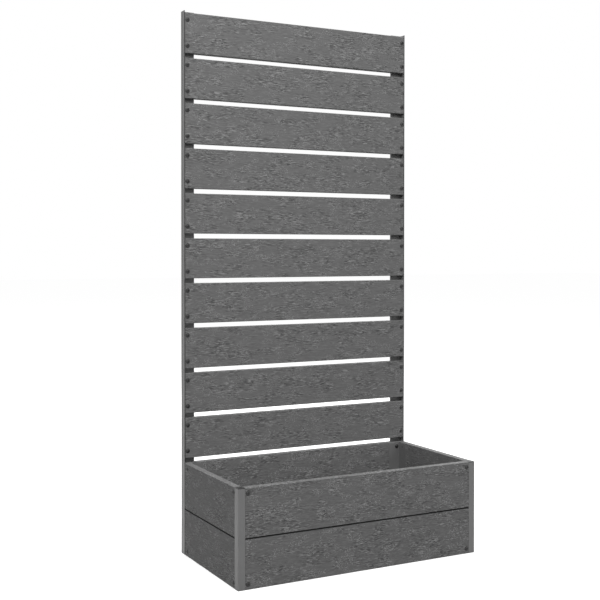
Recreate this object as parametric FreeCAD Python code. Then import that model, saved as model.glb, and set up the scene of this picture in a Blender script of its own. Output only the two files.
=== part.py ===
import FreeCAD, Part
import math
import os

from FreeCAD import Vector

# A planter with a trellis, in millimetres.  +X runs to the right along the front, +Y to the back,
# +Z up.  The origin is on the ground under the middle of the box.  Grey wood-grain boards are
# screwed to four metal posts: two short ones at the front corners, and two tall ones at the back
# that also carry the trellis slats.

# ---- Overall box, outside the boards and posts -------------------------------------------------
width = 800.0
depth = 400.0

# ---- Boards ------------------------------------------------------------------------------------
board_thickness = 20.0
edge_chamfer = 1.0
course_height = 137.5  # the height of one board that shows on the outside of the box
seam_height = 3.0  # the shadow line between the lower and the upper board
seam_depth = 5.0
tongue_thickness = 6.0
tongue_height = 6.0
tongue_clearance = 0.5

# ---- Trellis -----------------------------------------------------------------------------------
slat_count = 10
slat_height = 121.5
slat_gap = 14.5
post_rise = 6.0  # the rear posts stand this much above the top slat

# ---- Rear posts: a side flange beside the boards and a hollow back flange behind them ------------
rear_wall = 2.0
rear_flange_depth = 6.0
rear_skin = 1.5  # the walls round the hollow of the back flange
rear_lap = 20.0  # how far the back flange reaches inside the side board's inner face
rear_corner_radius = 1.5
rear_bore_radius = 0.6
end_clearance = 1.0  # from a board's end to the side flange beside it
rear_butt_gap = 3.0  # from a side board's end to the rear post

# ---- Front corner posts: a square tube with a fin behind each board ------------------------------
corner_wall = 1.5
corner_fin = 22.5  # how far a fin reaches past the tube
corner_radius = 2.0
corner_bore_radius = 0.8
butt_clearance = 0.5  # from a board's end to the tube

# ---- Caps in the tops of the corner posts --------------------------------------------------------
cap_plate = 2.0
cap_plug = 12.0
cap_plug_wall = 1.6
cap_clearance = 0.2

# ---- Rear brackets: angles that tie the side boards to the back boards ---------------------------
bracket_wall = 1.5
bracket_leg = 40.0
bracket_bend_radius = 2.2
bracket_end_clearance = 4.0

# ---- Floor: loose slats across two angles screwed to the front and back boards -------------------
bearer_wall = 1.5
bearer_leg = 25.0
bearer_top = 30.0
bearer_bend_radius = 2.2
bearer_end_clearance = 6.0
bearer_screw_count = 3
bearer_screw_end = 60.0  # from the bearer's end to its first screw
bearer_screw_drop = 14.0  # from the bearer's top to its screws
floor_thickness = 12.0
floor_count = 6
floor_gap = 10.0
floor_clearance = 1.0

# ---- Screws --------------------------------------------------------------------------------------
# Screws and their holes repeat over sixty times, so both are drawn with flats.
shank_flats = 8
head_flats = 16
shank_radius = 2.5
head_radius = 6.0
head_top_radius = 3.5
head_height = 3.0
hole_clearance = 0.25
thread_clearance = 0.05
slat_screw_end = 7.5  # from a slat's end to its screws
slat_screw_edge = 21.5  # from a slat's long edges to its screws
board_screw_end = 8.0  # from a board's end at a corner post to its screw
board_screw_edge = 15.0  # from the box's top and bottom edges to its screws
short_shank_radius = 2.0
short_screw_length = 14.0
pilot_spare = 1.0  # how much deeper a blind pilot hole is than its screw

# ---- Worked out from the sizes above -------------------------------------------------------------
left = -width / 2
front = -depth / 2
back = depth / 2

box_height = 2 * course_height + seam_height
pitch = slat_height + slat_gap
post_height = box_height + slat_count * pitch + post_rise

# The slats and the back boards stand in one plane, just in front of the rear posts' back flanges.
back_board_rear = back - rear_flange_depth
back_board_front = back_board_rear - board_thickness
slat_length = width - 2 * (rear_wall + end_clearance)

corner_tube = board_thickness + corner_wall
front_board_length = width - 2 * (corner_tube + butt_clearance)
side_board_front = front + corner_tube + butt_clearance
side_board_rear = back_board_front - rear_butt_gap
corner_post_height = box_height - cap_plate

front_inner = front + board_thickness
side_inner = width / 2 - board_thickness

rear_flange = board_thickness + rear_lap
back_screw_x = width / 2 - board_thickness - rear_lap / 2
side_rear_screw_y = back_board_front - (bracket_wall + bracket_leg) / 2
box_screw_heights = [board_screw_edge, box_height - board_screw_edge]

inner_wall = max(corner_wall, bracket_wall)
bearer_inset = board_thickness + max(bracket_leg, corner_wall + corner_fin) + bearer_end_clearance
bearer_length = width - 2 * bearer_inset

OUT = "parts"


# ---- Plain shapes ----------------------------------------------------------------------------------


def outline(corners):
    """A closed wire round the corners; each is (point, radius), and a radius rounds its corner."""
    pieces = []
    ends = []
    count = len(corners)
    for i, (point, radius) in enumerate(corners):
        before = (corners[i - 1][0] - point).normalize()
        after = (corners[(i + 1) % count][0] - point).normalize()
        if radius == 0:
            ends.append((point, point))
            continue
        half_angle = before.getAngle(after) / 2
        reach = radius / math.tan(half_angle)
        start = point + before * reach
        stop = point + after * reach
        inward = (before + after).normalize()
        crown = point + inward * (radius / math.sin(half_angle) - radius)
        pieces.append(Part.Arc(start, crown, stop).toShape())
        ends.append((start, stop))
    for i in range(count):
        leave = ends[i][1]
        arrive = ends[(i + 1) % count][0]
        if leave.distanceToPoint(arrive) > 1e-6:
            pieces.append(Part.LineSegment(leave, arrive).toShape())
    return Part.Wire(Part.__sortEdges__(pieces))


def bar(corners, run):
    """The solid swept by a flat outline along the vector run."""
    return Part.Face(outline(corners)).extrude(run)


def sharp(points):
    """Corners with no rounding."""
    return [(point, 0) for point in points]


def ring(centre, axis, radius, flats):
    """Points round a level axis for a circle drawn with flats; radius is to the flats."""
    across = Vector(0, 0, 1)
    other = axis.cross(across)
    reach = radius / math.cos(math.pi / flats)
    angles = [2 * math.pi * (i + 0.5) / flats for i in range(flats)]
    return [centre + (across * math.cos(angle) + other * math.sin(angle)) * reach for angle in angles]


def flatted_rod(start, axis, radius, length):
    """A small round rod drawn with flats, from start along axis."""
    return bar(sharp(ring(start, axis, radius, shank_flats)), axis * length)


def drilled(shape, starts, axis, radius, length):
    """The shape with a hole from each start point along axis."""
    rods = [flatted_rod(start, axis, radius, length) for start in starts]
    return shape.cut(Part.makeCompound(rods))


def mirrored(shape):
    """The same piece for the other end of the planter."""
    return shape.mirror(Vector(0, 0, 0), Vector(1, 0, 0))


def save(shape, name):
    shape.exportStep(os.path.join(OUT, name + ".step"))


# ---- Boards ----------------------------------------------------------------------------------------


def slat_corners(outer, inner, bottom, top):
    """A plain board's section: (across, up) pairs from its outer to its inner face."""
    turn = math.copysign(edge_chamfer, inner - outer)
    return [
        (outer, bottom + edge_chamfer),
        (outer, top - edge_chamfer),
        (outer + turn, top),
        (inner - turn, top),
        (inner, top - edge_chamfer),
        (inner, bottom + edge_chamfer),
        (inner - turn, bottom),
        (outer + turn, bottom),
    ]


def lower_corners(outer, inner):
    """The lower course: a rebate makes the shadow line, and a tongue stands on the top edge."""
    sign = math.copysign(1, inner - outer)
    shoulder = course_height + seam_height
    near = outer + sign * (board_thickness - tongue_thickness) / 2
    far = near + sign * tongue_thickness
    return [
        (outer + sign * edge_chamfer, 0),
        (outer, edge_chamfer),
        (outer, course_height - edge_chamfer),
        (outer + sign * edge_chamfer, course_height),
        (outer + sign * seam_depth, course_height),
        (outer + sign * seam_depth, shoulder),
        (near, shoulder),
        (near, shoulder + tongue_height),
        (far, shoulder + tongue_height),
        (far, shoulder),
        (inner, shoulder),
        (inner, edge_chamfer),
        (inner - sign * edge_chamfer, 0),
    ]


def upper_corners(outer, inner):
    """The upper course, with a groove in its bottom edge for the tongue."""
    sign = math.copysign(1, inner - outer)
    bottom = course_height + seam_height
    groove = tongue_thickness + 2 * tongue_clearance
    near = outer + sign * (board_thickness - groove) / 2
    far = near + sign * groove
    roof = bottom + tongue_height + tongue_clearance
    return [
        (outer + sign * edge_chamfer, bottom),
        (outer, bottom + edge_chamfer),
        (outer, box_height - edge_chamfer),
        (outer + sign * edge_chamfer, box_height),
        (inner - sign * edge_chamfer, box_height),
        (inner, box_height - edge_chamfer),
        (inner, bottom),
        (far, bottom),
        (far, roof),
        (near, roof),
        (near, bottom),
    ]


def board_along_x(section, start, length):
    """A board whose section is given as (y, z) pairs."""
    corners = sharp([Vector(start, y, z) for y, z in section])
    return bar(corners, Vector(length, 0, 0))


def board_along_y(section, start, length):
    """A board whose section is given as (x, z) pairs."""
    corners = sharp([Vector(x, start, z) for x, z in section])
    return bar(corners, Vector(0, length, 0))


def slat_bottom(number):
    """The height of a slat's bottom edge, counted from 1 at the bottom of the trellis."""
    return box_height + slat_gap + (number - 1) * pitch


def slat_screw_heights(number):
    bottom = slat_bottom(number)
    return [bottom + slat_screw_edge, bottom + slat_height - slat_screw_edge]


def trellis_slat(number):
    """One slat of the trellis, with two holes at each end."""
    bottom = slat_bottom(number)
    section = slat_corners(back_board_front, back_board_rear, bottom, bottom + slat_height)
    slat = board_along_x(section, -slat_length / 2, slat_length)
    reach = slat_length / 2 - slat_screw_end
    starts = [Vector(x, back_board_front, z) for x in (-reach, reach) for z in slat_screw_heights(number)]
    return drilled(slat, starts, Vector(0, 1, 0), shank_radius + hole_clearance, board_thickness)


def bearer_screw_places():
    """Where the bearer screws sit along X."""
    first = -bearer_length / 2 + bearer_screw_end
    step = -2 * first / (bearer_screw_count - 1)
    return [first + i * step for i in range(bearer_screw_count)]


def bearer_screw_starts(face):
    height = bearer_top - bearer_screw_drop
    return [Vector(x, face, height) for x in bearer_screw_places()]


def front_board(section, height):
    """A front board between the corner posts, with a hole at each end."""
    board = board_along_x(section, -front_board_length / 2, front_board_length)
    reach = front_board_length / 2 - board_screw_end
    starts = [Vector(x, front, height) for x in (-reach, reach)]
    return drilled(board, starts, Vector(0, 1, 0), shank_radius + hole_clearance, board_thickness)


def back_board(section, height):
    """A back board in front of the rear posts, under the trellis slats."""
    board = board_along_x(section, -slat_length / 2, slat_length)
    starts = [Vector(x, back_board_front, height) for x in (-back_screw_x, back_screw_x)]
    return drilled(board, starts, Vector(0, 1, 0), shank_radius + hole_clearance, board_thickness)


def side_board(section, height):
    """A left side board from the corner post to the rear post."""
    board = board_along_y(section, side_board_front, side_board_rear - side_board_front)
    starts = [Vector(left, y, height) for y in (side_board_front + board_screw_end, side_rear_screw_y)]
    return drilled(board, starts, Vector(1, 0, 0), shank_radius + hole_clearance, board_thickness)


def with_bearer_pilots(board, face, inward):
    """The blind holes that the bearer's screws bite into."""
    pilot_depth = short_screw_length - bearer_wall + pilot_spare
    radius = short_shank_radius + thread_clearance
    return drilled(board, bearer_screw_starts(face), inward, radius, pilot_depth)


def save_boards():
    low, high = box_screw_heights
    lower = front_board(lower_corners(front, front_inner), low)
    save(with_bearer_pilots(lower, front_inner, Vector(0, -1, 0)), "front_board_lower")
    save(front_board(upper_corners(front, front_inner), high), "front_board_upper")
    lower = back_board(lower_corners(back_board_rear, back_board_front), low)
    save(with_bearer_pilots(lower, back_board_front, Vector(0, 1, 0)), "back_board_lower")
    save(back_board(upper_corners(back_board_rear, back_board_front), high), "back_board_upper")
    lower = side_board(lower_corners(left, -side_inner), low)
    upper = side_board(upper_corners(left, -side_inner), high)
    save(lower, "left_board_lower")
    save(upper, "left_board_upper")
    save(mirrored(lower), "right_board_lower")
    save(mirrored(upper), "right_board_upper")
    for number in range(1, slat_count + 1):
        save(trellis_slat(number), "trellis_slat_%02d" % number)


# ---- Metal -----------------------------------------------------------------------------------------


def rear_post():
    """The left rear post, from the ground to above the top slat."""
    section = [
        (Vector(left, back, 0), rear_corner_radius),
        (Vector(left, back_board_front, 0), 0),
        (Vector(left + rear_wall, back_board_front, 0), 0),
        (Vector(left + rear_wall, back_board_rear, 0), 0),
        (Vector(left + rear_flange, back_board_rear, 0), 0),
        (Vector(left + rear_flange, back, 0), 0),
    ]
    bore = [
        (Vector(left + rear_wall, back_board_rear + rear_skin, 0), rear_bore_radius),
        (Vector(left + rear_flange - rear_skin, back_board_rear + rear_skin, 0), rear_bore_radius),
        (Vector(left + rear_flange - rear_skin, back - rear_skin, 0), rear_bore_radius),
        (Vector(left + rear_wall, back - rear_skin, 0), rear_bore_radius),
    ]
    rise = Vector(0, 0, post_height)
    post = bar(section, rise).cut(bar(bore, rise))
    slat_screw_x = -slat_length / 2 + slat_screw_end
    starts = [
        Vector(slat_screw_x, back_board_rear, z)
        for number in range(1, slat_count + 1)
        for z in slat_screw_heights(number)
    ]
    starts += [Vector(-back_screw_x, back_board_rear, z) for z in box_screw_heights]
    return drilled(post, starts, Vector(0, 1, 0), shank_radius + thread_clearance, rear_skin)


def corner_post():
    """The left corner post: a square tube whose two inner walls run on as fins."""
    tube = left + corner_tube
    tube_y = front + corner_tube
    tip = tube + corner_fin
    tip_y = tube_y + corner_fin
    section = [
        (Vector(left, front, 0), corner_radius),
        (Vector(tube, front, 0), 0),
        (Vector(tube, front_inner, 0), 0),
        (Vector(tip, front_inner, 0), 0),
        (Vector(tip, tube_y, 0), 0),
        (Vector(tube, tube_y, 0), 0),
        (Vector(tube, tip_y, 0), 0),
        (Vector(-side_inner, tip_y, 0), 0),
        (Vector(-side_inner, tube_y, 0), 0),
        (Vector(left, tube_y, 0), 0),
    ]
    bore = [
        (Vector(left + corner_wall, front + corner_wall, 0), corner_bore_radius),
        (Vector(-side_inner, front + corner_wall, 0), corner_bore_radius),
        (Vector(-side_inner, front_inner, 0), corner_bore_radius),
        (Vector(left + corner_wall, front_inner, 0), corner_bore_radius),
    ]
    rise = Vector(0, 0, corner_post_height)
    post = bar(section, rise).cut(bar(bore, rise))
    front_x = -front_board_length / 2 + board_screw_end
    side_y = side_board_front + board_screw_end
    radius = shank_radius + thread_clearance
    front_starts = [Vector(front_x, front_inner, z) for z in box_screw_heights]
    side_starts = [Vector(-side_inner, side_y, z) for z in box_screw_heights]
    post = drilled(post, front_starts, Vector(0, 1, 0), radius, corner_wall)
    return drilled(post, side_starts, Vector(1, 0, 0), radius, corner_wall)


def corner_cap():
    """The left cap: a plate on the tube's end, and a hollow plug down inside it."""
    tube = left + corner_tube
    tube_y = front + corner_tube
    plate_corners = [
        (Vector(left, front, corner_post_height), corner_radius),
        (Vector(tube, front, corner_post_height), 0),
        (Vector(tube, tube_y, corner_post_height), 0),
        (Vector(left, tube_y, corner_post_height), 0),
    ]
    plate = bar(plate_corners, Vector(0, 0, cap_plate))
    x0 = left + corner_wall + cap_clearance
    y0 = front + corner_wall + cap_clearance
    side = corner_tube - 2 * (corner_wall + cap_clearance)
    foot = corner_post_height - cap_plug
    core = side - 2 * cap_plug_wall
    plug_radius = corner_bore_radius + cap_clearance

    def square(x, y, size, radius):
        return [
            (Vector(x, y, foot), radius),
            (Vector(x + size, y, foot), radius),
            (Vector(x + size, y + size, foot), radius),
            (Vector(x, y + size, foot), radius),
        ]

    plug = bar(square(x0, y0, side, plug_radius), Vector(0, 0, cap_plug))
    hollow = bar(square(x0 + cap_plug_wall, y0 + cap_plug_wall, core, 0), Vector(0, 0, cap_plug))
    return plate.fuse(plug.cut(hollow)).removeSplitter()


def rear_bracket():
    """The left bracket: an angle in the corner of the side boards and the back boards."""
    leg_x = -side_inner + bracket_leg
    leg_y = back_board_front - bracket_leg
    foot = bracket_end_clearance
    section = [
        (Vector(-side_inner, back_board_front, foot), bracket_bend_radius),
        (Vector(leg_x, back_board_front, foot), 0),
        (Vector(leg_x, back_board_front - bracket_wall, foot), 0),
        (
            Vector(-side_inner + bracket_wall, back_board_front - bracket_wall, foot),
            bracket_bend_radius - bracket_wall,
        ),
        (Vector(-side_inner + bracket_wall, leg_y, foot), 0),
        (Vector(-side_inner, leg_y, foot), 0),
    ]
    bracket = bar(section, Vector(0, 0, box_height - 2 * bracket_end_clearance))
    side_starts = [Vector(-side_inner, side_rear_screw_y, z) for z in box_screw_heights]
    back_face = back_board_front - bracket_wall
    back_starts = [Vector(-back_screw_x, back_face, z) for z in box_screw_heights]
    bite = shank_radius + thread_clearance
    pass_through = shank_radius + hole_clearance
    bracket = drilled(bracket, side_starts, Vector(1, 0, 0), bite, bracket_wall)
    return drilled(bracket, back_starts, Vector(0, 1, 0), pass_through, bracket_wall)


def floor_bearer(face, sign):
    """An angle on a board's inner face; its upper leg reaches inwards under the floor slats."""
    start = -bearer_length / 2
    section = [
        (Vector(start, face, bearer_top), bearer_bend_radius),
        (Vector(start, face + sign * bearer_leg, bearer_top), 0),
        (Vector(start, face + sign * bearer_leg, bearer_top - bearer_wall), 0),
        (
            Vector(start, face + sign * bearer_wall, bearer_top - bearer_wall),
            bearer_bend_radius - bearer_wall,
        ),
        (Vector(start, face + sign * bearer_wall, bearer_top - bearer_leg), 0),
        (Vector(start, face, bearer_top - bearer_leg), 0),
    ]
    bearer = bar(section, Vector(bearer_length, 0, 0))
    radius = short_shank_radius + hole_clearance
    return drilled(bearer, bearer_screw_starts(face), Vector(0, sign, 0), radius, bearer_wall)


def floor_slat(number):
    """One floor slat, front to back across both bearers, counted from 1 at the left."""
    room = 2 * (side_inner - inner_wall - floor_clearance)
    slat_width = (room - (floor_count - 1) * floor_gap) / floor_count
    start = -room / 2 + (number - 1) * (slat_width + floor_gap)
    y0 = front_inner + max(corner_wall, bearer_wall) + floor_clearance
    y1 = back_board_front - max(bracket_wall, bearer_wall) - floor_clearance
    section = slat_corners(start, start + slat_width, bearer_top, bearer_top + floor_thickness)
    return board_along_y(section, y0, y1 - y0)


def save_metal():
    post = rear_post()
    save(post, "rear_post_left")
    save(mirrored(post), "rear_post_right")
    post = corner_post()
    save(post, "corner_post_left")
    save(mirrored(post), "corner_post_right")
    cap = corner_cap()
    save(cap, "corner_cap_left")
    save(mirrored(cap), "corner_cap_right")
    bracket = rear_bracket()
    save(bracket, "rear_bracket_left")
    save(mirrored(bracket), "rear_bracket_right")


def save_floor():
    save(floor_bearer(front_inner, 1), "floor_bearer_front")
    save(floor_bearer(back_board_front, -1), "floor_bearer_back")
    for number in range(1, floor_count + 1):
        save(floor_slat(number), "floor_slat_%d" % number)


# ---- Screws ----------------------------------------------------------------------------------------


def screw(seat, axis, radius, length):
    """A bevelled head on the seat, and a shank from there along axis."""
    rim = ring(seat, axis, head_radius, head_flats)
    crown = ring(seat - axis * head_height, axis, head_top_radius, head_flats)
    outlines = [outline(sharp(points)) for points in (crown, rim)]
    head = Part.makeLoft(outlines, True, True)
    return head.fuse(flatted_rod(seat, axis, radius, length)).removeSplitter()


def screw_group(seats, axis, grip):
    """Screws through a grip of board and metal, each ending flush with the far face."""
    return [screw(seat, axis, shank_radius, grip) for seat in seats]


def save_screws():
    into_back = Vector(0, 1, 0)
    reach = slat_length / 2 - slat_screw_end
    heights = [z for number in range(1, slat_count + 1) for z in slat_screw_heights(number)]
    left_seats = [Vector(-reach, back_board_front, z) for z in heights]
    left_screws = Part.makeCompound(screw_group(left_seats, into_back, board_thickness + rear_skin))
    save(left_screws, "trellis_screws_left")
    save(mirrored(left_screws), "trellis_screws_right")

    reach = front_board_length / 2 - board_screw_end
    seats = [Vector(x, front, z) for x in (-reach, reach) for z in box_screw_heights]
    group = screw_group(seats, into_back, board_thickness + corner_wall)
    save(Part.makeCompound(group), "front_board_screws")

    front_y = side_board_front + board_screw_end
    seats = [Vector(left, front_y, z) for z in box_screw_heights]
    group = screw_group(seats, Vector(1, 0, 0), board_thickness + corner_wall)
    seats = [Vector(left, side_rear_screw_y, z) for z in box_screw_heights]
    group += screw_group(seats, Vector(1, 0, 0), board_thickness + bracket_wall)
    left_screws = Part.makeCompound(group)
    save(left_screws, "left_board_screws")
    save(mirrored(left_screws), "right_board_screws")

    face = back_board_front - bracket_wall
    seats = [Vector(x, face, z) for x in (-back_screw_x, back_screw_x) for z in box_screw_heights]
    group = screw_group(seats, into_back, bracket_wall + board_thickness + rear_skin)
    save(Part.makeCompound(group), "back_board_screws")

    group = []
    for face, sign in ((front_inner, 1), (back_board_front, -1)):
        for start in bearer_screw_starts(face + sign * bearer_wall):
            group.append(screw(start, Vector(0, -sign, 0), short_shank_radius, short_screw_length))
    save(Part.makeCompound(group), "floor_bearer_screws")


def main():
    os.makedirs(OUT, exist_ok=True)
    save_boards()
    save_metal()
    save_floor()
    save_screws()


main()
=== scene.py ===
# %% [markdown]
# # A planter with a trellis
#
# The real object is a rectangular box of grey wood-grain boards, screwed to metal posts, with ten
# wide slats rising behind it. The CAD model already has every board, post, cap and bracket in its
# true shape and place. What is left for Blender is how they look: the embossed grain of the boards,
# the powder coat of the metal, real screw heads, and the light and camera of the photograph.

import math
import random

import bmesh
import bpy
from mathutils import Matrix, Vector


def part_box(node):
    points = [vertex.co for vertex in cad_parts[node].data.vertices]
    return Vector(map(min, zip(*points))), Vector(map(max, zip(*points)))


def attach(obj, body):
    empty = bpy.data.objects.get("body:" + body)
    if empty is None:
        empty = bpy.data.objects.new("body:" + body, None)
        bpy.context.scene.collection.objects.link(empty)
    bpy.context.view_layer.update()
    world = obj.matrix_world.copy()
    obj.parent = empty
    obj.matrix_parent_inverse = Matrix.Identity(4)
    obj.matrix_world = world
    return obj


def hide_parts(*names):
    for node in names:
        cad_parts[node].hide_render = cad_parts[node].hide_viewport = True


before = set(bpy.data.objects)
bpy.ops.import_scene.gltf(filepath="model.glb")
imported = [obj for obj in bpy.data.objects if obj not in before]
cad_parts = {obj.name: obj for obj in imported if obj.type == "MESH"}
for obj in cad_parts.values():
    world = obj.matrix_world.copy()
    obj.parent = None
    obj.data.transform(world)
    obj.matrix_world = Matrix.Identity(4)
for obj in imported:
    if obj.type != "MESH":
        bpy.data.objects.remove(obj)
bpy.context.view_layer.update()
scene = bpy.context.scene
names = list(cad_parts)
MM = 0.001  # Blender works in metres, and small sizes are easier to read in millimetres

print("pieces in the frame:", len(names))

# %% [markdown]
# ## The camera
#
# The photograph was taken from the front, some 30 degrees round to the left, at about the middle of
# the trellis's height. Tilting a camera makes upright posts lean, and here they stand almost
# upright. So the camera dips by less than a degree, and a small shift does the framing. A shift
# slides the picture without turning the camera, as a view camera does in architectural work.

# %% Place the camera
PICTURE_WIDTH = 600  # pixels
FOCAL_LENGTH = 1018.8  # pixels
SENSOR = 36.0  # mm
AXIS_X, AXIS_Y = 258.8, 264.3  # the pixel that the camera's axis passes through
CAMERA_PLACE = Vector((-1.5835, -2.6714, 0.9196))
CAMERA_TURN = math.radians(-26.76)  # about Z: from looking along +Y towards +X
CAMERA_DIP = math.radians(0.748)
FARTHEST = 200.0  # metres that the camera sees, far past the floor's edge

camera_data = bpy.data.cameras.new("photo_camera")
camera_data.sensor_width = SENSOR
camera_data.lens = FOCAL_LENGTH / PICTURE_WIDTH * SENSOR
camera_data.shift_x = 0.5 - AXIS_X / PICTURE_WIDTH
camera_data.shift_y = AXIS_Y / PICTURE_WIDTH - 0.5
camera_data.clip_end = FARTHEST
camera = bpy.data.objects.new("photo_camera", camera_data)
camera.location = CAMERA_PLACE
camera.rotation_euler = (math.radians(90) - CAMERA_DIP, 0, CAMERA_TURN)
scene.collection.objects.link(camera)
scene.camera = camera

print("lens: %.1f mm" % camera_data.lens)
print("shift: %.3f, %.3f" % (camera_data.shift_x, camera_data.shift_y))

# %% [markdown]
# ## Small helpers for shader nodes
#
# Materials here are built from nodes in code. A few short helpers keep that readable. They add a
# node and fill in its sockets, do arithmetic, or tell where the shaded point lies. Others start a
# node group and place it. A group is a small machine with named inputs and outputs. It is built
# once and then placed in any material that needs it, each time with its own values.


# %% Node helpers
def add(tree, kind, inputs=(), **settings):
    """Adds a node. Each input is a socket to link from, or a plain value."""
    node = tree.nodes.new(kind)
    for name, value in settings.items():
        setattr(node, name, value)
    for key, value in dict(inputs).items():
        if isinstance(value, bpy.types.NodeSocket):
            tree.links.new(value, node.inputs[key])
        else:
            node.inputs[key].default_value = value
    return node


def calculate(tree, operation, *values):
    """A Math node's result, from sockets or numbers."""
    return add(tree, "ShaderNodeMath", dict(enumerate(values)), operation=operation).outputs[0]


def calculate_vector(tree, operation, first, second):
    """A Vector Math node's outputs: Vector, or Value for a dot product."""
    return add(tree, "ShaderNodeVectorMath", {0: first, 1: second}, operation=operation).outputs


def remap(tree, value, from_low, from_high, to_low=0.0, to_high=1.0):
    """Stretches a range onto another one, with soft ends and nothing beyond them."""
    limits = {
        "Value": value,
        "From Min": from_low,
        "From Max": from_high,
        "To Min": to_low,
        "To Max": to_high,
    }
    node = add(tree, "ShaderNodeMapRange", limits, interpolation_type="SMOOTHSTEP")
    return node.outputs["Result"]


def mixed(tree, mask, below, above):
    """The colour below where the mask is 0, and the colour above where it is 1."""
    return add(tree, "ShaderNodeMix", {0: mask, 6: below, 7: above}, data_type="RGBA").outputs[2]


def own_place(tree):
    """Where the shaded point lies, in the piece's own coordinates."""
    return add(tree, "ShaderNodeTexCoord").outputs["Object"]


def own_coordinate(tree, axis):
    """The X, Y or Z of the shaded point, in metres."""
    return add(tree, "ShaderNodeSeparateXYZ", {"Vector": own_place(tree)}).outputs[axis]


# %% Group and material helpers
def new_group(name, inputs, outputs):
    """Starts a node group. Inputs are (name, type, value), and outputs are (name, type)."""
    group = bpy.data.node_groups.new(name, "ShaderNodeTree")
    for label, kind, value in inputs:
        socket_type = "NodeSocket" + kind
        socket = group.interface.new_socket(label, in_out="INPUT", socket_type=socket_type)
        if value is not None:
            socket.default_value = value
    for label, kind in outputs:
        group.interface.new_socket(label, in_out="OUTPUT", socket_type="NodeSocket" + kind)
    return group, group.nodes.new("NodeGroupInput").outputs, group.nodes.new("NodeGroupOutput")


def place_group(tree, group, inputs=()):
    """Puts a finished group into a material and returns its outputs."""
    return add(tree, "ShaderNodeGroup", inputs, node_tree=group).outputs


def grey(level):
    """A neutral colour, which all the finishes here have."""
    return (level, level, level, 1)


def new_material(name, specular):
    """A material with one Principled shader, and the tree and the shader to build on."""
    material = bpy.data.materials.new(name)
    material.use_nodes = True
    shader = material.node_tree.nodes["Principled BSDF"]
    shader.inputs["Specular IOR Level"].default_value = specular
    return material, material.node_tree, shader


def named(*starts):
    """The CAD pieces whose names start in one of these ways."""
    return [name for name in names if name.startswith(starts)]


def dress(material, *pieces):
    """Gives CAD pieces their material."""
    for name in pieces:
        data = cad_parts[name].data
        data.materials.clear()
        data.materials.append(material)
    print(material.name, "on", len(pieces), "pieces")


# %% [markdown]
# ## Embossed grain
#
# The boards are moulded in a wood-plastic mix. A roller presses a grain into them while they are
# warm, so the pattern is relief and colour at once: raised flecks rub lighter and pores stay
# darker. The flecks are about two millimetres wide and a centimetre or so long. They gather in
# patches with calmer board between, and some patches have a finer crackle of short marks.
#
# An image texture would need unwrapping and would repeat. Noise that is stretched along the board
# needs neither, and being three-dimensional it runs over the edges and onto the cut ends, as real
# grain does. A slow, wide noise first bends the coordinates, so that the streaks wander instead of
# running ruler-straight.


# %% Stretched noise
def stretched_noise(tree, place, stretch, detail=1.0, roughness=0.5, distortion=0.0):
    """Noise at a place whose coordinates are first multiplied by the stretch."""
    settings = {
        "Vector": calculate_vector(tree, "MULTIPLY", place, stretch)["Vector"],
        "Scale": 1.0,
        "Detail": detail,
        "Roughness": roughness,
        "Distortion": distortion,
    }
    return add(tree, "ShaderNodeTexNoise", settings).outputs["Fac"]


def marks_of_size(tree, place, size, detail=1.0, roughness=0.5):
    """Noise whose marks have about this length and width, in millimetres."""
    length, width = size
    stretch = (1 / (length * MM), 1 / (width * MM), 1 / (width * MM))
    return stretched_noise(tree, place, stretch, detail, roughness)


# %% Bend the coordinates
WANDER_SIZE = (150.0, 45.0)  # mm along and across the board for one lazy bend of the grain
WANDER_REACH = 9.0  # mm that a streak drifts across the board

grain, grain_in, grain_out = new_group(
    "embossed_grain",
    [("Place", "Vector", None), ("Fleck Length", "Float", None), ("Fleck Width", "Float", None)],
    [("Fleck", "Float"), ("Pore", "Float"), ("Streak", "Float"), ("Height", "Float")],
)
wander = marks_of_size(grain, grain_in["Place"], WANDER_SIZE)
drift = calculate(grain, "SUBTRACT", wander, 0.5)  # noise lies round a half, drift round 0
drift = calculate(grain, "MULTIPLY", drift, 2 * WANDER_REACH * MM)
drift = add(grain, "ShaderNodeCombineXYZ", {"Y": drift, "Z": drift}).outputs[0]
bent = calculate_vector(grain, "ADD", grain_in["Place"], drift)["Vector"]

print("grain group, coordinates only:", len(grain.nodes), "nodes")

# %% Flecks, pores and crackle
PEAKS = (0.54, 0.66)  # noise hovers round a half, and these limits keep only its peaks
HOLLOWS = (0.46, 0.34)  # or only its hollows
FLECK_DISTORTION = 0.6  # frays the outlines of the flecks
BUSY_SIZE = (60.0, 26.0)  # mm: the patches where flecks and pores crowd
BUSY_LIMITS = (0.40, 0.60)
CALM_SHARE = 0.15  # what is left of flecks and pores between those patches
CRACKLE_SIZE = (4.0, 2.2)  # mm: one mark of the crackle
CRACKLED_SIZE = (45.0, 24.0)  # mm: the patches where it shows
CRACKLED_LIMITS = (0.50, 0.60)

lengthwise = calculate(grain, "DIVIDE", 1 / MM, grain_in["Fleck Length"])
crosswise = calculate(grain, "DIVIDE", 1 / MM, grain_in["Fleck Width"])
stretch = {"X": lengthwise, "Y": crosswise, "Z": crosswise}
stretch = add(grain, "ShaderNodeCombineXYZ", stretch).outputs[0]
fleck_noise = stretched_noise(grain, bent, stretch, distortion=FLECK_DISTORTION)

busy_noise = marks_of_size(grain, bent, BUSY_SIZE, detail=2.0)
busy = remap(grain, busy_noise, *BUSY_LIMITS, CALM_SHARE, 1.0)
crackle = remap(grain, marks_of_size(grain, bent, CRACKLE_SIZE), *PEAKS)
crackled = remap(grain, marks_of_size(grain, bent, CRACKLED_SIZE), *CRACKLED_LIMITS)

fleck = calculate(grain, "MULTIPLY", remap(grain, fleck_noise, *PEAKS), busy)
fleck = calculate(grain, "MAXIMUM", fleck, calculate(grain, "MULTIPLY", crackle, crackled))
pore = calculate(grain, "MULTIPLY", remap(grain, fleck_noise, *HOLLOWS), busy)

print("with flecks and pores:", len(grain.nodes), "nodes")

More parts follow.
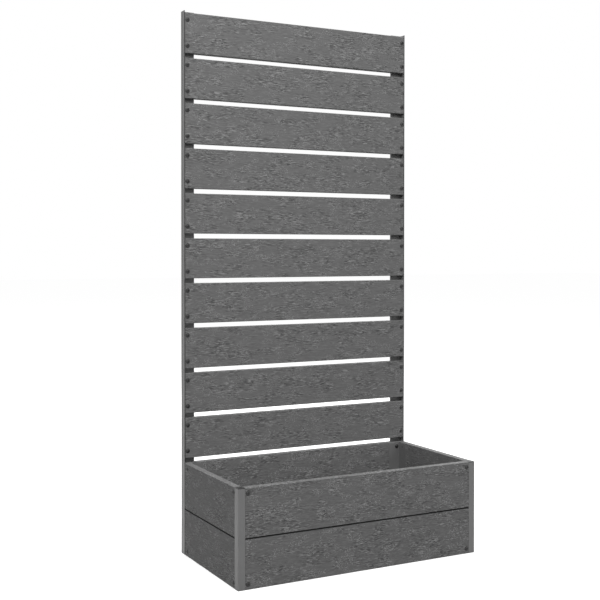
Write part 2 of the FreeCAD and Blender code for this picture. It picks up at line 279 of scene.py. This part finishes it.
# %% Streaks and relief
STREAK_SIZE = (38.0, 2.4)  # mm
STREAK_RELIEF = 0.7  # a streak's height, as a share of a fleck's

streak = marks_of_size(grain, bent, STREAK_SIZE, detail=2.0, roughness=0.6)
relief = calculate(grain, "SUBTRACT", fleck, pore)
height = calculate(grain, "MULTIPLY_ADD", streak, STREAK_RELIEF, relief)
for label, value in (("Fleck", fleck), ("Pore", pore), ("Streak", streak), ("Height", height)):
    grain.links.new(value, grain_out.inputs[label])

print("the whole grain group:", len(grain.nodes), "nodes")

# %% [markdown]
# ## Worn edges, with a painted highlight
#
# Corners of a board or a bent sheet rub lighter first, and the lighter grey along them also stands
# in for the highlight that light lays on an edge: partly wear, partly painted highlight. The flat
# faces here all look along X, Y or Z, and only chamfers and bends look in between. For such a
# normal the fourth powers of its three parts add up to less than one, so a little arithmetic finds
# every edge without looking for it.


# %% Noise of one size
def even_noise(tree, size, detail, roughness=0.5):
    """Noise whose spots are about this many millimetres wide each way."""
    settings = {
        "Vector": own_place(tree),
        "Scale": calculate(tree, "DIVIDE", 1 / MM, size),
        "Detail": detail,
        "Roughness": roughness,
    }
    return add(tree, "ShaderNodeTexNoise", settings).outputs["Fac"]


# %% The worn and highlit edge group
SLANT_LIMITS = (0.9, 0.55)  # sums of fourth powers: a flat face has 1, a 45 degree chamfer 0.5
BREAKUP_LIMITS = (0.35, 0.7)
LEAST_WEAR_AND_HIGHLIGHT = 0.25  # what an edge keeps of its wear where the noise is lowest

wear_and_highlight, wear_and_highlight_in, wear_and_highlight_out = new_group(
    "worn_and_highlit_edges",
    [("Breakup Size", "Float", None), ("Amount", "Float", None)],
    [("Mask", "Float")],
)
facing = add(wear_and_highlight, "ShaderNodeNewGeometry").outputs["True Normal"]
squared = calculate_vector(wear_and_highlight, "MULTIPLY", facing, facing)["Vector"]
fourths = calculate_vector(wear_and_highlight, "DOT_PRODUCT", squared, squared)["Value"]
slanted = remap(wear_and_highlight, fourths, *SLANT_LIMITS)
breakup = even_noise(wear_and_highlight, wear_and_highlight_in["Breakup Size"], detail=3.0, roughness=0.65)
worn_and_highlit = calculate(wear_and_highlight, "MULTIPLY", slanted, remap(wear_and_highlight, breakup, *BREAKUP_LIMITS, LEAST_WEAR_AND_HIGHLIGHT, 1.0))
wear_and_highlight.links.new(calculate(wear_and_highlight, "MULTIPLY", worn_and_highlit, wear_and_highlight_in["Amount"]), wear_and_highlight_out.inputs["Mask"])

print("worn edge group:", len(wear_and_highlight.nodes), "nodes")

# %% [markdown]
# ## The boards
#
# Grey board takes its colour in three steps: the board itself, the lighter rubbed flecks and the
# darker pores. Streaks pull the board's grey a little towards one or the other. Mixing three greys
# with the grain's masks keeps each step easy to match against the photograph. The relief goes to a
# Bump node, which tilts the light without adding faces: the real relief is under half a millimetre
# deep.
#
# In the photograph the slats, the long boards of the box and its side boards differ a little in
# tone, and the box has finer flecks. They are the same board, so the slats' lighter grey is painted
# light: they stand higher and catch more light than the box. So one function makes a material for
# each. The side boards run along Y, and a Mapping node turns the grain for them.
#
# In the photograph the seam between the two courses of the box is darker than shade alone makes it
# in the render, so the material also paints a thin dark line at the seam's level: painted shade.

# %% The boards' tones
# The slats' board grey, lighter than the box's, is painted light.
SLAT_LEVELS = (0.156, 0.285, 0.088)  # greys of the board, of its flecks and of its pores
BOX_LEVELS = (0.147, 0.325, 0.078)
SIDE_LEVELS = (0.151, 0.265, 0.092)
SLAT_FLECKS = (15.0, 2.3)  # mm: the length and width that the noise is stretched to
BOX_FLECKS = (12.0, 1.8)
STREAK_LIMITS = (0.25, 0.75)
STREAK_SHARE = 0.22  # how far a streak pulls the grey towards the flecks or the pores
# The dark line at the seam is painted shade: the deep seam takes almost no light.
SEAM_LEVEL = 139 * MM  # the middle of the seam between the two courses
SEAM_SHADE_REACH = 2.6 * MM  # half the height of the dark line
SEAM_SHADE_CORE = 0.8  # the share of it that is fully dark
SEAM_SHADE_GREY = 0.030


def grain_colour(tree, marks, levels):
    """The board's grey with its streaks, pores and flecks."""
    board, light, dark = [grey(level) for level in levels]
    streaks = remap(tree, marks["Streak"], *STREAK_LIMITS)
    dark_side = mixed(tree, STREAK_SHARE, board, dark)
    light_side = mixed(tree, STREAK_SHARE, board, light)
    colour = mixed(tree, streaks, dark_side, light_side)
    colour = mixed(tree, marks["Pore"], colour, dark)
    return mixed(tree, marks["Fleck"], colour, light)


def with_seam_shade(tree, colour):
    """The same colour, with a painted shade line at the seam's level."""
    above = calculate(tree, "SUBTRACT", own_coordinate(tree, "Z"), SEAM_LEVEL)
    away = calculate(tree, "ABSOLUTE", above)
    in_seam_shade = remap(tree, away, SEAM_SHADE_REACH, SEAM_SHADE_CORE * SEAM_SHADE_REACH)
    return mixed(tree, in_seam_shade, colour, grey(SEAM_SHADE_GREY))


# %% Board material
BOARD_SPECULAR = 0.15
BOARD_ROUGHNESS = 0.74
FLECK_SMOOTHING = 0.14  # how much less rough a rubbed fleck is
# The lighter grey on the boards' edges is partly wear and partly painted highlight.
BOARD_WEAR_AND_HIGHLIGHT = {"Breakup Size": 30.0, "Amount": 0.4}
WORN_AND_HIGHLIT_BOARD = 0.27
RELIEF_DEPTH = 0.45 * MM


def board_material(name, turn, levels, flecks, relief_depth=RELIEF_DEPTH):
    """Embossed board whose grain is turned by so many degrees from X towards Y."""
    material, tree, shader = new_material(name, BOARD_SPECULAR)
    turning = {"Vector": own_place(tree), "Rotation": (0, 0, math.radians(turn))}
    turned = add(tree, "ShaderNodeMapping", turning).outputs[0]
    length, width = flecks
    marks = place_group(
        tree, grain, {"Place": turned, "Fleck Length": length, "Fleck Width": width}
    )
    edge = place_group(tree, wear_and_highlight, BOARD_WEAR_AND_HIGHLIGHT)["Mask"]
    # Edges take a lighter grey: partly wear, partly painted highlight.
    colour = mixed(tree, edge, grain_colour(tree, marks, levels), grey(WORN_AND_HIGHLIT_BOARD))
    tree.links.new(with_seam_shade(tree, colour), shader.inputs["Base Color"])
    smoothed = calculate(tree, "MULTIPLY_ADD", marks["Fleck"], -FLECK_SMOOTHING, BOARD_ROUGHNESS)
    tree.links.new(smoothed, shader.inputs["Roughness"])
    bump = add(
        tree,
        "ShaderNodeBump",
        {"Height": marks["Height"], "Strength": 1.0, "Distance": relief_depth},
    )
    tree.links.new(bump.outputs["Normal"], shader.inputs["Normal"])
    return material


# %% Dress the boards
def courses(*sides):
    """The lower and upper boards on these sides of the box."""
    return [side + "_board_" + course for side in sides for course in ("lower", "upper")]


slat_board = board_material("slat_board", 0, SLAT_LEVELS, SLAT_FLECKS)
long_board = board_material("long_board", 0, BOX_LEVELS, BOX_FLECKS)
side_board = board_material("side_board", 90, SIDE_LEVELS, BOX_FLECKS)
dress(slat_board, *named("trellis_slat"))
dress(long_board, *courses("front", "back"))
dress(side_board, *courses("left", "right"))

# %% [markdown]
# ## The floor of the box
#
# The floor slats lie deep in the box, where hardly anyone sees them, so a plainer board will do
# there: the same mix, darker and with a shallower, coarser grain.

# %% Floor slats
FLOOR_LEVELS = (0.110, 0.16, 0.065)
FLOOR_FLECKS = (30.0, 3.5)  # mm
FLOOR_RELIEF = 0.25 * MM

floor_board = board_material("floor_board", 90, FLOOR_LEVELS, FLOOR_FLECKS, FLOOR_RELIEF)
dress(floor_board, *named("floor_slat"))

# %% [markdown]
# ## Powder-coated metal
#
# The posts are sprayed with a powder that melts into a satin skin. Close up it has an orange
# peel of tiny dimples, and from further away a very slight cloudiness. Under it is metal, but
# paint hides that completely, so the shader's Metallic stays at 0. That is a common slip: a
# painted part that is set to metallic mirrors its surroundings instead of showing its paint.

# %% The powder coat group
coat, coat_in, coat_out = new_group(
    "powder_coat",
    [("Dimple Size", "Float", 1.2), ("Cloud Size", "Float", 60.0)],
    [("Dimples", "Float"), ("Cloud", "Float")],
)
for size, detail, output in (("Dimple Size", 1.0, "Dimples"), ("Cloud Size", 3.0, "Cloud")):
    coat.links.new(even_noise(coat, coat_in[size], detail), coat_out.inputs[output])

print("powder coat group:", len(coat.nodes), "nodes")

# %% Coated material
COAT_BREAKUP = 40.0  # mm
CLOUD_LIMITS = (0.3, 0.7)
CLOUD_ROUGHNESS = 0.08  # how much rougher the light clouds are
DIMPLE_STRENGTH = 0.6
DIMPLE_DEPTH = 0.05 * MM


def coated_metal(name, levels, wear_and_highlight_amount, roughness, specular=0.5):
    """Satin powder coat. The levels are its greys: plain, in light clouds, and on edges as wear and
    painted highlight.
    """
    plain, light, rubbed = [grey(level) for level in levels]
    material, tree, shader = new_material(name, specular)
    skin = place_group(tree, coat)
    edge = place_group(tree, wear_and_highlight, {"Breakup Size": COAT_BREAKUP, "Amount": wear_and_highlight_amount})["Mask"]
    cloud = remap(tree, skin["Cloud"], *CLOUD_LIMITS)
    # Edges take the lighter grey: partly wear, partly painted highlight.
    colour = mixed(tree, edge, mixed(tree, cloud, plain, light), rubbed)
    tree.links.new(colour, shader.inputs["Base Color"])
    uneven = calculate(tree, "MULTIPLY_ADD", cloud, CLOUD_ROUGHNESS, roughness)
    tree.links.new(uneven, shader.inputs["Roughness"])
    bump = add(
        tree,
        "ShaderNodeBump",
        {"Height": skin["Dimples"], "Strength": DIMPLE_STRENGTH, "Distance": DIMPLE_DEPTH},
    )
    tree.links.new(bump.outputs["Normal"], shader.inputs["Normal"])
    return material


# %% Corner posts, brackets and bearers
POST_LEVELS = (0.150, 0.165, 0.30)
INNER_LEVELS = (0.15, 0.17, 0.30)

post_metal = coated_metal("post_metal", POST_LEVELS, wear_and_highlight_amount=0.5, roughness=0.42)
dress(post_metal, "corner_post_left", "corner_post_right")
inner_metal = coated_metal("inner_metal", INNER_LEVELS, wear_and_highlight_amount=0.4, roughness=0.48)
dress(inner_metal, *named("rear_bracket", "floor_bearer_f", "floor_bearer_b"))

# %% [markdown]
# ## The rear posts
#
# Beside the slats only a narrow side flange of each rear post shows. In the photograph it is
# lighter than the corner posts, with a thin dark line along its front edge, and its rear half is
# darker. The render's light and shade alone don't give these tones, so the material paints them:
# the lighter grey is painted light, and the rear half and the line along the front edge are painted
# shade. The shade goes by how far a point lies behind the front edge.

# %% Rear posts
# Greys lighter than the corner posts' coat: painted light.
REAR_LIT_LEVELS = (0.20, 0.22, 0.30)
REAR_SHADE_GREY = 0.07
REAR_SHADE_LIMITS = (8 * MM, 14 * MM)  # behind the front edge: where the shade fades in
REAR_SHADE_SHARE = 0.45
# A near-black line along the front edge: painted shadow of the gap beside the slats' ends.
FRONT_SHADOW_LINE_GREY = 0.015
FRONT_SHADOW_LINE_LIMITS = (0.8 * MM, 0.4 * MM)  # where the dark line fades out

rear_metal = coated_metal("rear_post_metal", REAR_LIT_LEVELS, wear_and_highlight_amount=0.5, roughness=0.42)
tree = rear_metal.node_tree
base_colour = tree.nodes["Principled BSDF"].inputs["Base Color"]
front_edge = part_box("rear_post_left")[0][1]
behind = calculate(tree, "SUBTRACT", own_coordinate(tree, "Y"), front_edge)
shade = calculate(tree, "MULTIPLY", remap(tree, behind, *REAR_SHADE_LIMITS), REAR_SHADE_SHARE)
painted = mixed(tree, shade, base_colour.links[0].from_socket, grey(REAR_SHADE_GREY))
# Painted shadow along the front edge.
painted = mixed(tree, remap(tree, behind, *FRONT_SHADOW_LINE_LIMITS), painted, grey(FRONT_SHADOW_LINE_GREY))
tree.links.new(painted, base_colour)
dress(rear_metal, "rear_post_left", "rear_post_right")

# %% [markdown]
# ## Moulded caps
#
# The square plugs in the corner posts are moulded in dark plastic with a fine, even texture from
# the mould. The powder coat gives that too: its plain and its light grey are the same here, so no
# clouds show and the dimples are left.

# %% Cap plastic
CAP_LEVELS = (0.022, 0.022, 0.06)

cap_plastic = coated_metal("cap_plastic", CAP_LEVELS, wear_and_highlight_amount=0.5, roughness=0.5)
dress(cap_plastic, "corner_cap_left", "corner_cap_right")

# %% [markdown]
# ## One screw
#
# Each slat is held by pan-head screws with a thin flange and a cross recess. The CAD model keeps
# only a bevelled head on a rod, because a screw is small trim there. Seen close it needs its
# real shape, so for each group one screw is built in detail and then copied to every place.
#
# The head is a lathe job: half of its outline is drawn and spun round the axis. The cross is cut
# as a toolmaker would punch it. A small grid loses its four corners and leaves a plus, which is
# pushed down and drawn in. A fill then closes the ring between the plus and the dome.
#
# Blender's operators may list the same new faces in another order from run to run. The finished
# screw is therefore sorted by place, so that every run gives the same mesh.

# %% Spin the screw
SCREW_SEGMENTS = 24
HEAD_OUTLINE = [  # distance from the axis and height above the seat, in mm as all sizes here
    (7.0, 0.0),
    (7.0, 0.5),
    (6.7, 0.75),
    (5.3, 0.95),
    (5.0, 1.5),
    (4.4, 2.3),
    (3.6, 2.8),
]
CROWN_HEIGHT = 3.0
CROWN_RADIUS = 2.9
SHANK_RADIUS = 2.3
TIP_RADIUS = 1.6
TIP_LENGTH = 1.2
MERGE = 0.01 * MM


def spun_screw(length):
    """A pan-head screw, open at its crown, with the seat under its head on Z = 0."""
    bm = bmesh.new()
    tip = [(0.0, -length), (TIP_RADIUS, -length)]
    shank = [(SHANK_RADIUS, TIP_LENGTH - length), (SHANK_RADIUS, 0.0)]
    outline = tip + shank + HEAD_OUTLINE + [(CROWN_RADIUS, CROWN_HEIGHT)]
    points = [bm.verts.new((radius * MM, 0, height * MM)) for radius, height in outline]
    edges = [bm.edges.new(pair) for pair in zip(points, points[1:])]
    bmesh.ops.spin(
        bm,
        geom=points + edges,
        cent=(0, 0, 0),
        axis=(0, 0, 1),
        angle=2 * math.pi,
        steps=SCREW_SEGMENTS,
        use_merge=True,
    )
    bmesh.ops.remove_doubles(bm, verts=bm.verts, dist=MERGE)
    return bm


# %% Punch the cross
ARM_REACH = 2.5  # mm from the axis to the end of an arm
ARM_HALF_WIDTH = 0.7
CROSS_DEPTH = 1.7
CROSS_TAPER = 0.55  # how small the bottom of the cross is beside its mouth
RIM_SLACK = 0.1  # mm: the open rim is whatever ends less than this below the crown


def near_axis(face):
    """How close a face's middle comes to the X or the Y axis."""
    middle = face.calc_center_median()
    return min(abs(middle.x), abs(middle.y))


def add_cross(bm):
    """Closes the crown with a cross-shaped recess."""
    rim_level = (CROWN_HEIGHT - RIM_SLACK) * MM
    rim = [edge for edge in bm.edges if edge.is_boundary and edge.verts[0].co.z > rim_level]
    grid = bmesh.ops.create_grid(bm, x_segments=3, y_segments=3, size=1.0)["verts"]
    for vert in grid:
        for side in (0, 1):
            # The grid's lines lie at 1 and at a third on both sides of its middle.
            reach = ARM_REACH if abs(vert.co[side]) > 0.5 else ARM_HALF_WIDTH
            vert.co[side] = math.copysign(reach * MM, vert.co[side])
        vert.co.z = CROWN_HEIGHT * MM
    faces = [face for face in bm.faces if face.verts[0] in grid]
    corners = [face for face in faces if near_axis(face) > ARM_HALF_WIDTH * MM]
    bmesh.ops.delete(bm, geom=corners, context="FACES")
    plus = [face for face in faces if face.is_valid]
    outline = [edge for face in plus for edge in face.edges if edge.is_boundary]
    pushed = bmesh.ops.extrude_face_region(bm, geom=plus)["geom"]
    bottom = [item for item in pushed if isinstance(item, bmesh.types.BMVert)]
    bmesh.ops.delete(bm, geom=plus, context="FACES_ONLY")
    bmesh.ops.scale(bm, vec=(CROSS_TAPER, CROSS_TAPER, 1), verts=bottom)
    bmesh.ops.translate(bm, vec=(0, 0, -CROSS_DEPTH * MM), verts=bottom)
    bmesh.ops.triangle_fill(bm, use_beauty=True, edges=rim + outline, normal=(0, 0, 1))


# %% Finish one screw
SHARP_ANGLE = math.radians(32)


def settle_order(elements, key):
    """Lists faces or edges in the order of their keys."""
    for index, element in enumerate(sorted(elements, key=key)):
        element.index = index
    elements.sort()


def screw_pattern(length):
    """One finished screw as a mesh, head up, with its seat at the origin."""
    bm = spun_screw(length)
    add_cross(bm)
    bmesh.ops.recalc_face_normals(bm, faces=bm.faces)
    for face in bm.faces:
        face.smooth = True
    for edge in bm.edges:
        edge.smooth = edge.calc_face_angle(0.0) < SHARP_ANGLE
    open_edges = sum(edge.is_boundary for edge in bm.edges)
    settle_order(bm.faces, lambda face: tuple(face.calc_center_median()))
    settle_order(bm.edges, lambda edge: sorted(tuple(vert.co) for vert in edge.verts))
    mesh = bpy.data.meshes.new("screw_pattern")
    bm.to_mesh(mesh)
    bm.free()
    print("screw of %.1f mm:" % length, len(mesh.polygons), "faces, open edges:", open_edges)
    return mesh


# %% [markdown]
# ## Finding the screws' places
#
# The places aren't typed in again. Each group of screws is one CAD piece, so a copy of its mesh
# is welded and taken apart into islands, one for each screw. An island's longest side is the
# screw's axis, and its widest ring of points is the seat under the head.

# %% Take a mesh apart
WELD = 0.005 * MM


def islands(bm):
    """The groups of points that edges join, in the same order each run."""
    seen = set()
    for start in bm.verts:
        if start in seen:
            continue
        seen.add(start)
        group = [start]
        for vert in group:  # the list grows while this loop walks along it
            for edge in vert.link_edges:
                other = edge.other_vert(vert)
                if other not in seen:
                    seen.add(other)
                    group.append(other)
        yield [vert.co.copy() for vert in group]


# %% Read each screw's seat, axis and length
RING_SHARE = 0.95  # points this close to the widest one belong to the ring


def screw_place(points):
    """The seat, the unit vector out of the head and the shank length of one screw."""
    low = Vector([min(point[i] for point in points) for i in range(3)])
    high = Vector([max(point[i] for point in points) for i in range(3)])
    middle = (low + high) / 2
    size = high - low
    along = max(range(3), key=lambda i: size[i])

    def from_axis(point):
        flat = point - middle
        flat[along] = 0
        return flat.length

    widest = max(from_axis(point) for point in points)
    ring = [point[along] for point in points if from_axis(point) > RING_SHARE * widest]
    seat_level = sum(ring) / len(ring)
    seat = middle.copy()
    seat[along] = seat_level
    downwards = seat_level < middle[along]
    outward = Vector((0, 0, 0))
    outward[along] = -1.0 if downwards else 1.0
    tip_level = high[along] if downwards else low[along]
    return seat, outward, abs(tip_level - seat_level)


def screw_places(node):
    """The places of all the screws in a CAD group, in order of their seats."""
    bm = bmesh.new()
    bm.from_mesh(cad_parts[node].data)
    bmesh.ops.remove_doubles(bm, verts=bm.verts, dist=WELD)
    places = [screw_place(points) for points in islands(bm)]
    bm.free()
    return sorted(places, key=lambda place: tuple(place[0]))


for node in ("trellis_screws_left", "front_board_screws"):
    seat, _, shank = screw_places(node)[0]
    rounded = [round(value, 4) for value in seat]
    print(node, "first seat", rounded, "shank %.1f mm" % (shank / MM))

# %% [markdown]
# ## Driving the screws home
#
# A screw stops at whatever turn it has when it is tight, so each cross points its own way. The
# random turns come from a seeded generator, which gives the same picture every time.

# %% Coated steel
SCREW_LEVELS = (0.012, 0.020, 0.06)

screw_steel = coated_metal(
    "screw_steel", SCREW_LEVELS, wear_and_highlight_amount=0.6, roughness=0.38, specular=0.4
)

# %% Build every group of screws
turns = random.Random(12)  # any seed will do, as long as it stays the same


def driven_screws(node):
    """Detailed screws in place of a CAD group, all in one piece."""
    places = screw_places(node)
    pattern = screw_pattern(places[0][2] / MM)
    bm = bmesh.new()
    for seat, outward, _ in places:
        turn = Matrix.Rotation(turns.uniform(0, math.pi / 2), 4, "Z")
        aim = outward.to_track_quat("Z", "Y").to_matrix().to_4x4()
        driven = pattern.copy()
        driven.transform(Matrix.Translation(seat) @ aim @ turn)
        bm.from_mesh(driven)
        bpy.data.meshes.remove(driven)
    mesh = bpy.data.meshes.new(node + "_detailed")
    bm.to_mesh(mesh)
    bm.free()
    bpy.data.meshes.remove(pattern)
    piece = bpy.data.objects.new(node + "_detailed", mesh)
    piece.data.materials.append(screw_steel)
    scene.collection.objects.link(piece)
    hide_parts(node)
    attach(piece, "root")
    return piece


for node in [name for name in names if "screws" in name]:
    piece = driven_screws(node)
    print(piece.name, len(piece.data.polygons), "faces")

# %% [markdown]
# ## Floor and light
#
# The photograph is a product picture on pure white in soft light. The floor is a plain pale sheet.
# For the camera it is bright enough to fade into the white behind it, and only the object's own
# shadow shows on it. For light that bounces it is a duller grey: a floor that glowed from below
# would wash out the dark undersides of the slats.
#
# Much of the light is an even white sky. A large lamp stands in front, a little to the left, one
# hangs high above and one stands behind on the right. Top faces get more light than the fronts,
# and the upper slats a little more than the box, as in the photograph.


# %% What the camera sees directly
def seen_directly(tree):
    """1 for what the camera sees, also in gloss or through glass, and 0 for light that bounces."""
    rays = add(tree, "ShaderNodeLightPath").outputs
    seen = calculate(tree, "MAXIMUM", rays["Is Camera Ray"], rays["Is Glossy Ray"])
    return calculate(tree, "MAXIMUM", seen, rays["Is Transmission Ray"])


# %% The floor
FLOOR_SIZE = 60.0  # metres
FLOOR_DROP = 0.2 * MM  # a hair's breadth under the object, so that no faces coincide
FLOOR_SEEN = 0.93
FLOOR_BOUNCE = 0.06
FLOOR_LIFT = 0.32  # evens out the floor that the camera sees, and keeps the shadow light

bm = bmesh.new()
bmesh.ops.create_grid(bm, x_segments=1, y_segments=1, size=FLOOR_SIZE / 2)
bmesh.ops.translate(bm, vec=(0, 0, -FLOOR_DROP), verts=bm.verts)
floor_mesh = bpy.data.meshes.new("studio_floor")
bm.to_mesh(floor_mesh)
bm.free()
floor = bpy.data.objects.new("studio_floor", floor_mesh)
scene.collection.objects.link(floor)

floor_paint = bpy.data.materials.new("floor_paint")
floor_paint.use_nodes = True
tree = floor_paint.node_tree
tree.nodes.clear()
bounce = add(tree, "ShaderNodeBsdfDiffuse", {"Color": grey(FLOOR_BOUNCE)}).outputs[0]
pale = add(tree, "ShaderNodeBsdfDiffuse", {"Color": grey(FLOOR_SEEN)}).outputs[0]
lift = add(tree, "ShaderNodeEmission", {"Color": grey(1), "Strength": FLOOR_LIFT}).outputs[0]
lifted = add(tree, "ShaderNodeAddShader", {0: pale, 1: lift}).outputs[0]
either = {0: seen_directly(tree), 1: bounce, 2: lifted}
either = add(tree, "ShaderNodeMixShader", either).outputs[0]
add(tree, "ShaderNodeOutputMaterial", {"Surface": either})
floor_mesh.materials.append(floor_paint)

print("floor: %.0f m across" % FLOOR_SIZE)

# %% The sky
SKY_LIGHT = 0.72  # for light that bounces; the camera sees pure white, which is 1

world = bpy.data.worlds.new("studio_sky")
scene.world = world
world.use_nodes = True
tree = world.node_tree
tree.nodes.clear()
strength = calculate(tree, "MULTIPLY_ADD", seen_directly(tree), 1.0 - SKY_LIGHT, SKY_LIGHT)
glow = add(tree, "ShaderNodeBackground", {"Color": grey(1), "Strength": strength}).outputs[0]
add(tree, "ShaderNodeOutputWorld", {"Surface": glow})

print("sky: %.2f, seen as 1" % SKY_LIGHT)

# %% The lamps
MIDDLE = Vector((0.0, 0.0, 0.8))  # what the lamps point at


def soft_box(name, place, size, level):
    """A square lamp that lights a white card in the middle of the object to the given level."""
    lamp = bpy.data.lights.new(name, "AREA")
    lamp.shape = "SQUARE"
    lamp.size = size
    reach = MIDDLE - Vector(place)
    lamp.energy = level * math.pi ** 2 * reach.length_squared
    holder = bpy.data.objects.new(name, lamp)
    holder.location = place
    holder.rotation_euler = reach.to_track_quat("-Z", "Y").to_euler()
    scene.collection.objects.link(holder)
    print(name, "%.0f W" % lamp.energy)


soft_box("key_lamp", (-0.8, -2.1, 2.7), 1.2, 0.515)
soft_box("back_lamp", (1.6, 3.2, 2.6), 1.8, 0.45)
soft_box("top_lamp", (0.0, -0.1, 6.5), 1.4, 0.50)

scene.view_settings.view_transform = "Standard"
